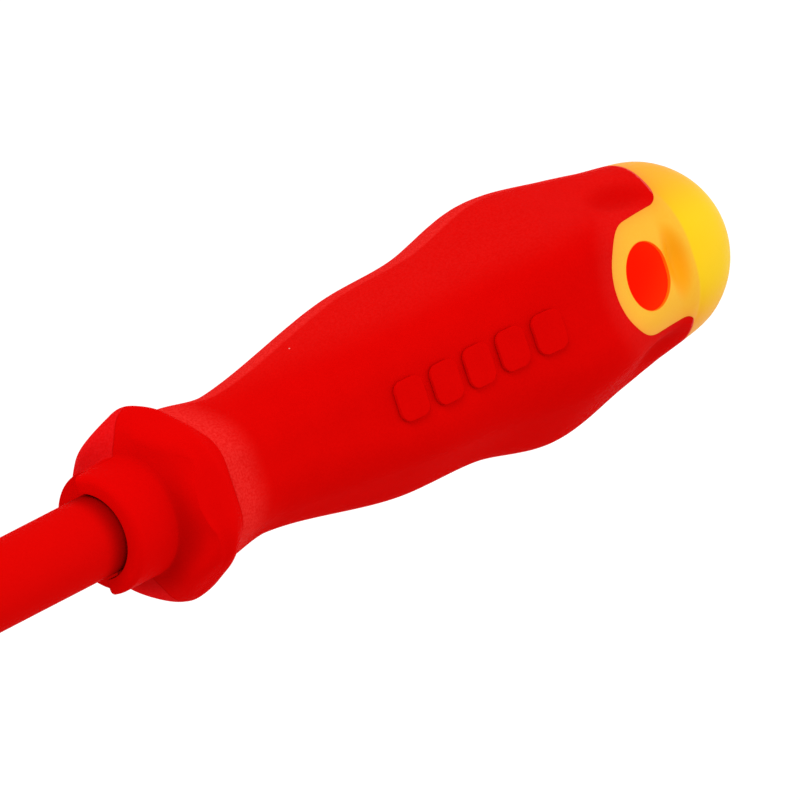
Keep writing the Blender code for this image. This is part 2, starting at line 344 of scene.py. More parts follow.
def handle_section(x, proud=0.0):
    return lambda angle: polar(x, handle_radius(x, angle) + proud, angle)


def spread(start, end, steps):
    return [start + (end - start) * number / steps for number in range(steps + 1)]


def quarter_round(x, radius, size, degrees):
    """Places and radii round an edge that starts at x. A negative size gives a fillet up to x."""
    points = []
    for turn in map(math.radians, degrees):
        points.append((x + size * (1 - math.sin(turn)), radius - size * (1 - math.cos(turn))))
    return points


# %% [markdown]
# Holes and gaps are cut with Boolean modifiers. Each cutter is a plain solid that is removed once
# its cut is applied. A boolean leaves very short edges where a cutter's edge passes close to a
# point of the mesh, so points nearer than a few hundredths of a millimetre are merged afterwards.
# Faces with many sides are cut into triangles, and where two of those share all their points, as
# a fold of no thickness does, both are deleted and the solid stays closed.

# %% Cutting and smoothing
def cut(piece, cutter, operation="DIFFERENCE"):
    apply_modifier(piece, "BOOLEAN", operation=operation, object=cutter, solver="MANIFOLD")
    bpy.data.objects.remove(cutter, do_unlink=True)


def cylinder(name, middle, radius, depth, axis="X", sides=128):
    turn = {"X": (0, math.pi / 2, 0), "Y": (math.pi / 2, 0, 0), "Z": (0, 0, 0)}[axis]
    bpy.ops.object.select_all(action="DESELECT")
    bpy.ops.mesh.primitive_cylinder_add(
        vertices=sides, radius=radius, depth=depth, location=middle, rotation=turn
    )
    bpy.context.object.name = name
    return settle(bpy.context.object)


def box(name, low, high):
    bpy.ops.object.select_all(action="DESELECT")
    bpy.ops.mesh.primitive_cube_add(size=1, location=(Vector(low) + Vector(high)) / 2)
    piece = bpy.context.object
    piece.name = name
    piece.scale = Vector(high) - Vector(low)
    return settle(piece)


def tidy_mesh(piece, distance=0.03 * MM):
    edit(piece)
    bpy.ops.mesh.select_all(action="SELECT")
    bpy.ops.mesh.remove_doubles(threshold=distance)
    bpy.ops.mesh.select_face_by_sides(number=4, type="GREATER", extend=False)
    bpy.ops.mesh.quads_convert_to_tris(quad_method="BEAUTY", ngon_method="BEAUTY")
    mesh = bmesh.from_edit_mesh(piece.data)
    by_points = {}
    for face in mesh.faces:
        by_points.setdefault(frozenset(vert.index for vert in face.verts), []).append(face)
    folded = [face for same in by_points.values() if len(same) > 1 for face in same]
    bmesh.ops.delete(mesh, geom=folded, context="FACES")
    bmesh.update_edit_mesh(piece.data)
    close_edit()


def smooth(piece, degrees=32):
    only(piece)
    bpy.ops.object.shade_smooth_by_angle(angle=math.radians(degrees))


def report(piece):
    sizes = [f"{size / MM:.1f}" for size in piece.dimensions]
    print(piece.name, len(piece.data.polygons), "faces,", " x ".join(sizes), "mm")


# %% [markdown]
# ## Insulating sleeve
# The sleeve is a thick plastic tube drawn over the steel bar, with a small round at its front
# edge. Solidify would do for the wall, but the front face shows, so the rings run forward along
# the bore, round the edge and back along the outside, and a bridge closes the rear end.

# %% Model the sleeve
SLEEVE_RADIUS = 5.0 * MM
SLEEVE_BORE = 3.27 * MM
SLEEVE_ROUND = 0.6 * MM
BORE_CHAMFER = 0.3 * MM
SLEEVE_SIDES = 96

front = SLEEVE_FRONT - HANDLE_FRONT
back = SLEEVE_END - HANDLE_FRONT
profile = [(back, SLEEVE_BORE), (front + BORE_CHAMFER, SLEEVE_BORE)]
profile += [(front, SLEEVE_BORE + BORE_CHAMFER)]
profile += quarter_round(front, SLEEVE_RADIUS, SLEEVE_ROUND, (90, 72, 54, 36, 18, 0))
profile += [(x, SLEEVE_RADIUS) for x in spread(front + 5 * MM, back, 24)]
sleeve = ringed(
    "insulating_sleeve", [circle_section(*point) for point in profile], sides=SLEEVE_SIDES
)
mesh = edit(sleeve)
pick(mesh, lambda middle: middle.x > SLEEVE_END - NEAR)
bpy.ops.mesh.bridge_edge_loops()
close_edit()
smooth(sleeve)
report(sleeve)

# %% [markdown]
# ## Blade
# The blade is a round bar whose tip is forged and ground to a wedge. Grinding takes metal off a
# round bar, so the bar is a cylinder and the wedge is what is left between two hollow-ground cuts.
# Each cut is a large cylinder lying across the blade, which leaves the curved shoulders of a real
# tip without drawing them. Its rear end runs on into the core, which has no bore for it behind the
# sleeve, because none of that shows.

# %% Model the blade
BLADE_RADIUS = 3.25 * MM
TIP_THICKNESS = 1.2 * MM
GRIND_RADIUS = 21 * MM
TIP_FLAT = 1.6 * MM
TIP_EASE = 0.08 * MM
CUTTER_SIZE = 10 * MM

blade = cylinder(
    "slotted_blade",
    ((BLADE_TIP + BLADE_END) / 2, 0, 0),
    BLADE_RADIUS,
    BLADE_END - BLADE_TIP,
    sides=96,
)
for side in (1, -1):
    middle = (BLADE_TIP + TIP_FLAT, 0, side * (TIP_THICKNESS / 2 + GRIND_RADIUS))
    cut(blade, cylinder("grinding_wheel", middle, GRIND_RADIUS, 2 * CUTTER_SIZE, "Y", 256))
    under, over = sorted((side * TIP_THICKNESS / 2, side * CUTTER_SIZE))
    low = (BLADE_TIP - CUTTER_SIZE / 2, -CUTTER_SIZE, under)
    high = (BLADE_TIP + TIP_FLAT, CUTTER_SIZE, over)
    cut(blade, box("tip_flat_cut", low, high))
tidy_mesh(blade, NEAR)
apply_modifier(
    blade, "BEVEL", width=TIP_EASE, segments=2, limit_method="ANGLE", angle_limit=math.radians(35)
)
smooth(blade, 25)
report(blade)

# %% [markdown]
# ## Hard core
# The core is the first shot of plastic: a round collar, a guard with six flats, and the body that
# the soft grip covers. Only the collar, the guard and the wall of the hang hole show. The guard is
# like the chamfered head of a nut: each flat is an arched field between a front face that falls
# back towards the corners and a rear slope that runs into the grip.

# %% Draw the core
COLLAR_ROUND = 0.8 * MM
COLLAR_FILLET = 0.5 * MM
FACE_END = 0.5
EDGE_END = 10.4 * MM
EDGE_PROUD = 0.3 * MM
SHARP_FACE_END = 0.95
SHARP_EDGE_REACH = 0.3 * MM
EDGE_TIP = 0.1 * MM
SHARP_SINES = (0.72, 0.92)

core_profile = quarter_round(0, COLLAR_RADIUS, COLLAR_ROUND, (90, 67, 45, 22, 0))
core_profile += [(x, COLLAR_RADIUS) for x in spread(1.6 * MM, 6.4 * MM, 8)]
core_profile += quarter_round(GUARD_FACE, COLLAR_RADIUS, -COLLAR_FILLET, (0, 30, 60, 85))
edge_x, edge_flat, edge_rounding, edge_lean = GUARD_STATIONS[0]


def face_section(share):
    """Section on the guard's front face, from the collar's fillet (0) to the front edge (1)."""
    inner = circle_section(GUARD_FACE, COLLAR_RADIUS + COLLAR_FILLET)
    outer = hexagon_section(edge_x, edge_flat, edge_rounding, edge_lean)
    return lambda angle: inner(angle).lerp(outer(angle), share)


def side_section(x):
    """Section on the guard's flats."""
    return hexagon_section(x, *(along(GUARD_STATIONS, column, x) for column in (1, 2, 3)))


def sharpness(angle):
    """The edge is sharp on the two broad flats and soft on the others."""
    return step(abs(math.sin(angle)), *SHARP_SINES)


def edge_end(angle):
    """Where the edge ends on the flats."""
    return EDGE_END + (edge_x + SHARP_EDGE_REACH - EDGE_END) * sharpness(angle)


def edge_section(share):
    """Section on the edge between the front face (0) and the flats (1)."""

    def section(angle):
        sharp = sharpness(angle)
        start = face_section(FACE_END + (SHARP_FACE_END - FACE_END) * sharp)(angle)
        end = side_section(edge_end(angle))(angle)
        flat = edge_flat + EDGE_PROUD * (1 - sharp)
        tip = hexagon_section(edge_x - EDGE_TIP, flat, edge_rounding, edge_lean)(angle)
        return start.lerp(tip, share).lerp(tip.lerp(end, share), share)

    return section


def flat_section(share):
    """Section on the flats, from the end of the edge (0) to the guard's back (1)."""

    def section(angle):
        first = edge_end(angle)
        return side_section(first + (GUARD_BACK - first) * share)(angle)

    return section


core_sections = [circle_section(*point) for point in core_profile]
core_sections += [face_section(FACE_END * share) for share in (0.3, 0.6, 0.85)]
core_sections += [edge_section(share) for share in spread(0.0, 1.0, 14)]
core_sections += [flat_section(share) for share in spread(0.0, 1.0, 22)[1:]]
core_sections += [handle_section(GUARD_BACK + NEAR, -SKIN)]
core_sections += [
    handle_section(x, -SKIN) for x in spread(GUARD_BACK + 1 * MM, HANDLE_END - 2.5 * MM, 70)
]
core = ringed("hard_core", core_sections, close_front=True, close_back=True)
report(core)

# %% Cut the collar, the bore and the hang hole
SLEEVE_GAP = 0.45 * MM
RELIEF_DEPTH = 2.0 * MM
BUSH_RADIUS = 4.8 * MM
RIM = 0.45 * MM
FAR = 12 * MM
THROUGH = 60 * MM

step_low = (HANDLE_FRONT - 1 * MM, -FAR, -FAR)
cut(core, box("collar_step", step_low, (HANDLE_FRONT + COLLAR_STEP, FAR, 0)))
bore_middle = (HANDLE_FRONT + 17 * MM, 0, 0)
cut(core, cylinder("sleeve_bore", bore_middle, SLEEVE_RADIUS + SEAM, 36 * MM, sides=SLEEVE_SIDES))
relief_middle = (HANDLE_FRONT + RELIEF_DEPTH - 10 * MM, 0, 0)
relief_radius = SLEEVE_RADIUS + SLEEVE_GAP
relief = cylinder("collar_relief", relief_middle, relief_radius, 20 * MM, sides=SLEEVE_SIDES)
half_low = (HANDLE_FRONT - 30 * MM, -FAR, -FAR)
cut(relief, box("relief_half", half_low, (HANDLE_FRONT + FAR, FAR, -0.02 * MM)))
cut(core, relief)


def hole_cutter(name, radius):
    """Cylinder along the hang hole, through the whole handle."""
    return cylinder(name, (HANDLE_FRONT + HOLE, 0, 0), radius, THROUGH, "Z")


def bush(name, grow):
    """Ring of hard plastic that lines the hang hole to just below its mouths."""
    places = spread(HOLE - 6 * MM, HOLE + 6 * MM, 24)
    body = ringed(name, [handle_section(x, grow - RIM) for x in places], True, True)
    cut(body, hole_cutter("bush_reach", BUSH_RADIUS + grow), "INTERSECT")
    return body


cut(core, bush("bush", 0), "UNION")
cut(core, hole_cutter("core_hole", HOLE_RADIUS + 0.05 * MM))
tidy_mesh(core)
smooth(core)
report(core)

# %% [markdown]
# ## Where grip and cap meet
# The soft grip ends behind in two tongues, one on each edge of the handle, and leaves a notch
# round each mouth of the hang hole. One solid describes the space that the grip fills, and the cap
# fills the rest: a wide cylinder lying across the handle gives the tongues their curved ends, and
# a slot with a round end is cut from it. The tongues' tips are rounded with a bevel. Above and
# below the handle the zone is cut off first, because farther out the bevel would cut into itself.

# %% Build the grip's zone
TONGUE_REACH = 10.4 * MM
TONGUE_CURVE = 17.5 * MM
TIP_ROUND = 1.5 * MM
NOTCH_RADIUS = 7.1 * MM
ZONE_HEIGHT = 14.9 * MM


def grip_zone(name, grow):
    """Space that the grip fills, grown by a distance."""
    hole_x = HANDLE_FRONT + HOLE
    middle_x = hole_x + TONGUE_REACH - TONGUE_CURVE
    zone = cylinder(name, (middle_x, 0, 0), TONGUE_CURVE + grow, 80 * MM, "Y", 256)
    mesh = edit(zone)
    pick(mesh, lambda middle: middle.x < middle_x - NEAR)
    bpy.ops.transform.resize(value=(0, 1, 1), center_override=(HANDLE_FRONT, 0, 0))
    leave_edit()
    notch = NOTCH_RADIUS - grow
    slot = cylinder("notch", (hole_x, 0, 0), notch, 90 * MM, "Z", 128)
    mesh = edit(slot)
    pick(mesh, lambda middle: middle.x > hole_x + NEAR)
    bpy.ops.transform.resize(value=(0, 1, 1), center_override=(hole_x + 30 * MM, 0, 0))
    leave_edit()
    cut(zone, slot)
    low = (HANDLE_FRONT - MM, -30 * MM, -ZONE_HEIGHT)
    cut(zone, box("zone_height", low, (HANDLE_FRONT + 120 * MM, 30 * MM, ZONE_HEIGHT)), "INTERSECT")
    mesh = edit(zone)
    pick(
        mesh,
        lambda middle: abs(abs(middle.y) - notch) < NEAR
        and middle.x > middle_x + 2 * NEAR
        and abs(math.hypot(middle.x - middle_x, middle.z) - TONGUE_CURVE - grow) < 2 * NEAR,
        "edges",
    )
    chosen = sum(edge.select for edge in mesh.edges)
    bpy.ops.mesh.bevel(offset=TIP_ROUND, segments=8, profile=0.5)
    leave_edit()
    print(name, "rounded", chosen, "edges of the tongues")
    return zone


# %% [markdown]
# ## Soft grip
# The grip is a second shot of soft plastic, moulded over the core. It is a shell of even
# thickness, so its outside is drawn ring by ring and Solidify gives it the wall. It is drawn a
# little past the crease and then trimmed by its zone. Solidify measures the wall square to the
# surface and the core is drawn lower along its radius, so inside the two cross a little on slopes.

# %% Model the grip
GRIP_OVERSHOOT = 4 * MM

grip = ringed(
    "soft_grip_skin",
    [handle_section(x) for x in spread(GUARD_BACK + SEAM, CREASE, 110)]
    + [handle_section(x) for x in spread(CREASE + 0.3 * MM, CREASE + GRIP_OVERSHOOT, 8)],
)
apply_modifier(grip, "SOLIDIFY", thickness=SKIN - SEAM, offset=-1)
cut(grip, grip_zone("grip_zone", -SEAM / 2), "INTERSECT")
tidy_mesh(grip)
smooth(grip)
report(grip)

# %% [markdown]
# ## Raised pads
# Five plain rounded pads stand 0.15 mm proud on the grip's upper field. They are of the same soft
# plastic: a second skin, a little outside the grip, kept only where five rounded blocks pass
# through it, so that each pad follows the grip's curve.

# %% Model the pads
PAD_COUNT = 5
PAD_START = 45.3 * MM
PAD_STEP = 5.75 * MM
PAD_LENGTH = 4.3 * MM
PAD_WIDTH = 5.0 * MM
PAD_CORNER = 1.3 * MM
PAD_PROUD = 0.15 * MM
PAD_ROOT = 0.3 * MM
PAD_EASE = 0.14 * MM
STAMP_LOW = 5 * MM
STAMP_HIGH = 20 * MM

pads = ringed(
    "grip_pads",
    [handle_section(x, PAD_PROUD) for x in spread(PAD_START - 5 * MM, PAD_START + 28 * MM, 66)],
)
apply_modifier(pads, "SOLIDIFY", thickness=PAD_PROUD + PAD_ROOT, offset=-1)
stamps = None
for number in range(PAD_COUNT):
    x = HANDLE_FRONT + PAD_START + number * PAD_STEP
    stamp = box(
        "pad_stamp",
        (x - PAD_LENGTH / 2, -PAD_WIDTH / 2, STAMP_LOW),
        (x + PAD_LENGTH / 2, PAD_WIDTH / 2, STAMP_HIGH),
    )
    mesh = edit(stamp)
    pick(mesh, lambda middle: abs(middle.z - (STAMP_LOW + STAMP_HIGH) / 2) < MM, "edges")
    bpy.ops.mesh.bevel(offset=PAD_CORNER, segments=8)
    leave_edit()
    if stamps:
        only(stamps)
        stamp.select_set(True)
        bpy.ops.object.join()
    else:
        stamps = stamp
cut(pads, stamps, "INTERSECT")
tidy_mesh(pads)
apply_modifier(
    pads, "BEVEL", width=PAD_EASE, segments=3, limit_method="ANGLE", angle_limit=math.radians(50)
)
smooth(pads, 50)
report(pads)

# %% [markdown]
# ## Domed cap
# The cap is moulded in yellow over the core's rear. It is drawn as the grip is, on the same
# surface, so the two meet flush, and it closes at the pole of the dome.

# %% Model the cap
cap_sections = [handle_section(x) for x in spread(HOLE - 9 * MM, CREASE, 44)]
cap_sections += [handle_section(x) for x in spread(CREASE + 0.25 * MM, DOME_CENTRE, 4)]
dome_length = HANDLE_END - DOME_CENTRE
for turn in map(math.radians, range(4, 90, 4)):
    cap_sections.append(handle_section(DOME_CENTRE + dome_length * math.sin(turn)))
cap = ringed("domed_cap", cap_sections)
mesh = edit(cap)
last = max(vert.co.x for vert in mesh.verts)
pick(mesh, lambda middle: middle.x > last - NEAR)
to_pole = (HANDLE_FRONT + HANDLE_END - last, 0, 0)
bpy.ops.mesh.extrude_edges_move(TRANSFORM_OT_translate={"value": to_pole})
bpy.ops.mesh.merge(type="CENTER")
close_edit()
apply_modifier(cap, "SOLIDIFY", thickness=SKIN - SEAM, offset=-1)
cut(cap, grip_zone("cap_zone", SEAM / 2))
cut(cap, bush("bush_room", SEAM))
cut(cap, hole_cutter("cap_hole", HOLE_RADIUS))
tidy_mesh(cap)
smooth(cap)
report(cap)

# %% [markdown]
# ## Finishes
# These plastics share four effects, so each is a node group: the fine grain that a mould leaves, the
# line where the mould's halves met, a few specks of dust, and the small patches in which the painted
# sheen lies. The groups read Object coordinates, which are metres here because every piece's object
# sits at the origin.

# %% Small helpers for node trees
def new_group(name, inputs, outputs):
    group = bpy.data.node_groups.new(name, "ShaderNodeTree")
    for label, default in inputs:
        socket = group.interface.new_socket(label, in_out="INPUT", socket_type="NodeSocketFloat")
        socket.default_value = default
    for label in outputs:
        group.interface.new_socket(label, in_out="OUTPUT", socket_type="NodeSocketFloat")
    entry = group.nodes.new("NodeGroupInput")
    leave = group.nodes.new("NodeGroupOutput")
    return group, entry, leave


def add_node(tree, kind, **settings):
    node = tree.nodes.new(kind)
    for name, value in settings.items():
        setattr(node, name, value)
    return node


def feed(tree, socket, value):
    """Sets a socket to a number or a colour, or links an output to it."""
    if isinstance(value, (int, float)):
        socket.default_value = value
    elif isinstance(value, tuple):
        socket.default_value = (*value, 1.0)
    else:
        tree.links.new(value, socket)


def maths(tree, operation, first, second=0.0, clamp=False):
    """Math node on links or numbers. It returns its output."""
    node = add_node(tree, "ShaderNodeMath", operation=operation, use_clamp=clamp)
    feed(tree, node.inputs[0], first)
    feed(tree, node.inputs[1], second)
    return node.outputs[0]


def sum_of_squares(tree, first, *others):
    total = maths(tree, "MULTIPLY", first, first)
    for value in others:
        total = maths(tree, "ADD", total, maths(tree, "MULTIPLY", value, value))
    return total


def object_place(tree):
    return add_node(tree, "ShaderNodeTexCoord").outputs["Object"]


def object_axes(tree):
    """The three axes of the Object coordinates."""
    split = add_node(tree, "ShaderNodeSeparateXYZ")
    tree.links.new(object_place(tree), split.inputs[0])
    return split.outputs


def noise(tree, place, scale, detail=2.0):
    node = add_node(tree, "ShaderNodeTexNoise")
    node.inputs["Detail"].default_value = detail
    feed(tree, node.inputs["Scale"], scale)
    feed(tree, node.inputs["Vector"], place)
    return node.outputs["Fac"]


def ramp(tree, value, low, high, out_low=0.0, out_high=1.0):
    """Smooth step from one range to another."""
    node = add_node(tree, "ShaderNodeMapRange", interpolation_type="SMOOTHSTEP")
    for label, number in (
        ("Value", value),
        ("From Min", low),
        ("From Max", high),
        ("To Min", out_low),
        ("To Max", out_high),
    ):
        feed(tree, node.inputs[label], number)
    return node.outputs["Result"]


def fade(tree, value, full, none, strength=1.0):
    """Mask at its strength up to one place, that fades out by the other."""
    return ramp(tree, value, full, none, strength, 0.0)


# %% The shared effects
WAVE_SCALE = 320.0
SPECK_SIZE = (0.016, 0.03)  # where a dot starts to fade and where it ends, in shares of a cell
BARE_CELLS = 0.86
PATCH_SCALE = 3600.0

grain_group, entry, leave = new_group("moulded_grain", [("Scale", 2600.0)], ["Grain", "Waves"])
place = object_place(grain_group)
fine = noise(grain_group, place, entry.outputs["Scale"], 3.0)
grain_group.links.new(fine, leave.inputs["Grain"])
grain_group.links.new(noise(grain_group, place, WAVE_SCALE), leave.inputs["Waves"])

line_group, entry, leave = new_group("mould_line", [("Half Width", 0.09 * MM)], ["Line"])
height = object_axes(line_group)["Z"]
share = maths(line_group, "DIVIDE", height, entry.outputs["Half Width"])
falling = maths(line_group, "MULTIPLY", sum_of_squares(line_group, share), -1.0)
line_group.links.new(maths(line_group, "POWER", math.e, falling), leave.inputs["Line"])

speck_group, entry, leave = new_group("dust_specks", [("Scale", 240.0)], ["Specks"])
cells = add_node(speck_group, "ShaderNodeTexVoronoi")
speck_group.links.new(object_place(speck_group), cells.inputs["Vector"])
speck_group.links.new(entry.outputs["Scale"], cells.inputs["Scale"])
dot = fade(speck_group, cells.outputs["Distance"], *SPECK_SIZE)
few = add_node(speck_group, "ShaderNodeSeparateColor")
speck_group.links.new(cells.outputs["Color"], few.inputs[0])
chosen = maths(speck_group, "GREATER_THAN", few.outputs[0], BARE_CELLS)
speck_group.links.new(maths(speck_group, "MULTIPLY", dot, chosen), leave.inputs["Specks"])

patch_group, entry, leave = new_group("sheen_patches", [("Least", 0.35)], ["Patches"])
cloud = noise(patch_group, object_place(patch_group), PATCH_SCALE, 3.0)
patchy = ramp(patch_group, cloud, 0.3, 0.7, entry.outputs["Least"], 1.0)
patch_group.links.new(patchy, leave.inputs["Patches"])
print("groups", [group.name for group in (grain_group, line_group, speck_group, patch_group)])

# %% [markdown]
# A function then makes any of the plastics from its own values. Grain, line and specks go into one
# height, which a Bump node turns into relief, and the grain shifts the colour and the roughness a
# little, because a perfectly even colour looks painted.

# %% A plastic, from its own values
DUST = (0.85, 0.35, 0.30)
NO_SHINE = 0.001
WAVE_SHARE = 0.4
LINE_WEAR = 0.06
SPECK_HEIGHT = 1.5
ROUGH_SPREAD = 0.06


def use_group(tree, group, **values):
    node = add_node(tree, "ShaderNodeGroup", node_tree=group)
    for label, value in values.items():
        node.inputs[label.replace("_", " ")].default_value = value
    return node


def mix_color(tree, share, first, second):
    node = add_node(tree, "ShaderNodeMix", data_type="RGBA")
    for number, value in ((0, share), (6, first), (7, second)):
        feed(tree, node.inputs[number], value)
    return node.outputs[2]


def new_material(name, **constants):
    material = bpy.data.materials.new(name)
    material.use_nodes = True
    shader = material.node_tree.nodes["Principled BSDF"]
    for label, value in constants.items():
        shader.inputs[label.replace("_", " ")].default_value = value
    return material, material.node_tree, shader


def set_bump(tree, shader, height, distance):
    bump = add_node(tree, "ShaderNodeBump")
    bump.inputs["Strength"].default_value = 1.0
    bump.inputs["Distance"].default_value = distance
    tree.links.new(height, bump.inputs["Height"])
    tree.links.new(bump.outputs["Normal"], shader.inputs["Normal"])


def plastic(name, color, deep, roughness, grain, line_height, bump, **constants):
    """Moulded plastic: colour that varies a little, grain, the mould's line and specks."""
    material, tree, shader = new_material(name, **constants)
    grains = use_group(tree, grain_group, Scale=grain)
    line = use_group(tree, line_group).outputs["Line"]
    specks = use_group(tree, speck_group).outputs["Specks"]
    waves = ramp(tree, grains.outputs["Waves"], 0.3, 0.7, 0.0, WAVE_SHARE)
    fine = ramp(tree, grains.outputs["Grain"], 0.35, 0.65, 0.0, 1 - WAVE_SHARE)
    body = mix_color(tree, maths(tree, "ADD", waves, fine), deep, color)
    worn_line = maths(tree, "MULTIPLY", line, LINE_WEAR * line_height)
    body = mix_color(tree, worn_line, body, tuple(0.6 * value for value in deep))
    tree.links.new(body, shader.inputs["Base Color"])
    rough = (roughness - ROUGH_SPREAD, roughness + ROUGH_SPREAD)
    tree.links.new(ramp(tree, grains.outputs["Grain"], 0.3, 0.7, *rough), shader.inputs["Roughness"])
    height = maths(tree, "MULTIPLY", line, line_height)
    height = maths(tree, "ADD", height, grains.outputs["Grain"])
    height = maths(tree, "ADD", height, maths(tree, "MULTIPLY", specks, SPECK_HEIGHT))
    set_bump(tree, shader, height, bump)
    return material, tree, shader, body


def dusted(tree, body):
    """The colour with pale specks of dust on it."""
    return mix_color(tree, use_group(tree, speck_group).outputs["Specks"], body, DUST)


def report_finish(material):
    print(material.name, "has", len(material.node_tree.nodes), "nodes")


# %% [markdown]
# The grip's soft plastic has a painted sheen, a paler red in small patches: behind the guard, round
# the notch and along the mould's line, and as a faint veil on its +Y side. One mask holds them all,
# and where masks meet the stronger one counts. The tongues end in a thin ragged line that is paler
# still, and painted shade lies as a deeper red in their hollows. The specular level is close to none,
# since this red shows almost no reflection of a pale room.

# %% Finish of the grip
RED = (0.71, 0.0014, 0.0008)
DEEP_RED = (0.67, 0.0011, 0.0006)
PAINTED_SHEEN_RED = (0.85, 0.024, 0.020)
LIP_RED = (0.85, 0.12, 0.10)
HOLLOW_SHADE_RED = (0.58, 0.0006, 0.0004)
SHADE_PLACE = HOLE + 3.2 * MM
SHADE_RADIUS = 12.6 * MM

grip_red, tree, shader, body = plastic(
    "grip_red",
    color=RED,
    deep=DEEP_RED,
    roughness=0.52,
    grain=3000.0,
    line_height=2.0,
    bump=0.018 * MM,
    Specular_IOR_Level=NO_SHINE,
)
axes = object_axes(tree)
from_hole = maths(tree, "SUBTRACT", axes["X"], HANDLE_FRONT + HOLE)
off_hole = maths(tree, "SQRT", sum_of_squares(tree, axes["Y"], from_hole))
off_line = maths(tree, "ABSOLUTE", maths(tree, "ADD", axes["Z"], MM))
# painted sheen: a paler red behind the guard, round the notch, along the mould's line and on the +Y
# side
sheen_mask = fade(tree, axes["X"], HANDLE_FRONT + 16 * MM, HANDLE_FRONT + 22.5 * MM)
for mask in (
    fade(tree, off_hole, 7.5 * MM, 12.0 * MM, 0.3),
    fade(tree, off_line, 2.0 * MM, 2.7 * MM, 0.9),
    ramp(tree, axes["Y"], 7.0 * MM, 11.0 * MM, 0.0, 0.22),
):
    sheen_mask = maths(tree, "MAXIMUM", sheen_mask, mask)
patches = use_group(tree, patch_group, Least=0.35).outputs["Patches"]
body = mix_color(tree, maths(tree, "MULTIPLY", sheen_mask, patches), body, PAINTED_SHEEN_RED)

# the pale ragged line along the tongues' curved ends
curve_middle = HANDLE_FRONT + HOLE + TONGUE_REACH - TONGUE_CURVE
from_curve = maths(tree, "SUBTRACT", axes["X"], curve_middle)
off_curve = maths(tree, "SQRT", sum_of_squares(tree, axes["Z"], from_curve))
uneven = maths(tree, "MULTIPLY", noise(tree, object_place(tree), 1400.0, 3.0), 0.6 * MM)
ragged = maths(tree, "ADD", off_curve, uneven)
lip = ramp(tree, ragged, TONGUE_CURVE, TONGUE_CURVE + 0.12 * MM, 0.0, 0.6)
lip = maths(tree, "MULTIPLY", lip, maths(tree, "GREATER_THAN", from_curve, 0.0))
body = mix_color(tree, lip, body, LIP_RED)

# painted shade in the tongues' hollows, a deeper red, one on each quarter of the handle
turn = math.radians(HOLLOW_TURN)
along_hollow = maths(tree, "SUBTRACT", axes["X"], HANDLE_FRONT + SHADE_PLACE)
offsets = [maths(tree, "DIVIDE", along_hollow, HOLLOW_HALF_LENGTH)]
for axis, middle in (("Y", SHADE_RADIUS * math.cos(turn)), ("Z", SHADE_RADIUS * math.sin(turn))):
    off_middle = maths(tree, "SUBTRACT", maths(tree, "ABSOLUTE", axes[axis]), middle)
    offsets.append(maths(tree, "DIVIDE", off_middle, HOLLOW_HALF_WIDTH))
body = mix_color(tree, fade(tree, sum_of_squares(tree, *offsets), 0.05, 1.0, 0.55), body, HOLLOW_SHADE_RED)
tree.links.new(dusted(tree, body), shader.inputs["Base Color"])
report_finish(grip_red)

# %% [markdown]
# The core is harder and smoother than the grip. Its guard keeps a clear mould line, its -Z half is
# paler with a painted sheen, and its front face is darker towards the collar, painted shade where the
# collar shades it. The lining of the hang hole is a clear orange-red, brightened as painted light. It
# also gives off a little light of its own, a painted glow, because a base colour alone comes out too
# dark inside so narrow a hole.

# %% Finish of the core
SHEEN_HALF_RED = (0.84, 0.010, 0.012)
SHADED_RED = (0.34, 0.0006, 0.0005)
LIT_LINING_RED = (0.98, 0.030, 0.002)
LINING_GLOW = (1.0, 0.014, 0.001)
GLOW_STRENGTH = 0.42

core_red, tree, shader, body = plastic(
    "core_red",
    color=(0.74, 0.0012, 0.0008),
    deep=(0.72, 0.0010, 0.0007),
    roughness=0.40,
    grain=2200.0,
    line_height=5.0,
    bump=0.012 * MM,
    Specular_IOR_Level=NO_SHINE,
)
axes = object_axes(tree)
patches = use_group(tree, patch_group, Least=0.4).outputs["Patches"]
# painted sheen: a paler red on the guard's -Z half
sheen_half = maths(tree, "MULTIPLY", fade(tree, axes["Z"], -0.25 * MM, 0.1 * MM, 0.8), patches)
on_guard = ramp(tree, axes["X"], HANDLE_FRONT + 6.8 * MM, HANDLE_FRONT + 7.2 * MM)
body = mix_color(tree, maths(tree, "MULTIPLY", sheen_half, on_guard), body, SHEEN_HALF_RED)
off_axis = sum_of_squares(tree, axes["Y"], axes["Z"])
# painted shade on the guard's front face near the collar, stronger on the -Y side
shade = fade(tree, off_axis, (8.0 * MM) ** 2, (10.9 * MM) ** 2, 0.55)
shade = maths(tree, "MULTIPLY", shade, ramp(tree, axes["Y"], -4 * MM, 7 * MM, 1.0, 0.35))
on_face = ramp(tree, axes["X"], HANDLE_FRONT + 6.4 * MM, HANDLE_FRONT + 7.2 * MM)
body = mix_color(tree, maths(tree, "MULTIPLY", shade, on_face), body, SHADED_RED)
# painted light: the lining's bright red and its glow light up the narrow hang hole
lining = ramp(tree, axes["X"], HANDLE_FRONT + HOLE - 7 * MM, HANDLE_FRONT + HOLE - 6 * MM)
body = mix_color(tree, lining, body, LIT_LINING_RED)
shader.inputs["Emission Strength"].default_value = GLOW_STRENGTH
lit = mix_color(tree, lining, (0.0, 0.0, 0.0), LINING_GLOW)
tree.links.new(lit, shader.inputs["Emission Color"])
tree.links.new(dusted(tree, body), shader.inputs["Base Color"])
report_finish(core_red)

# %% [markdown]
# The sleeve is an extruded tube, so it has no mould line. It is darker over its last few millimetres
# before the collar, painted shade where it goes into the collar.

# %% Finish of the sleeve
sleeve_red, tree, shader, body = plastic(
    "sleeve_red",
    color=(0.71, 0.0016, 0.0010),
    deep=(0.69, 0.0014, 0.0008),
    roughness=0.42,
    grain=2600.0,
    line_height=0.0,
    bump=0.008 * MM,
    Specular_IOR_Level=NO_SHINE,
)
along_it = object_axes(tree)["X"]
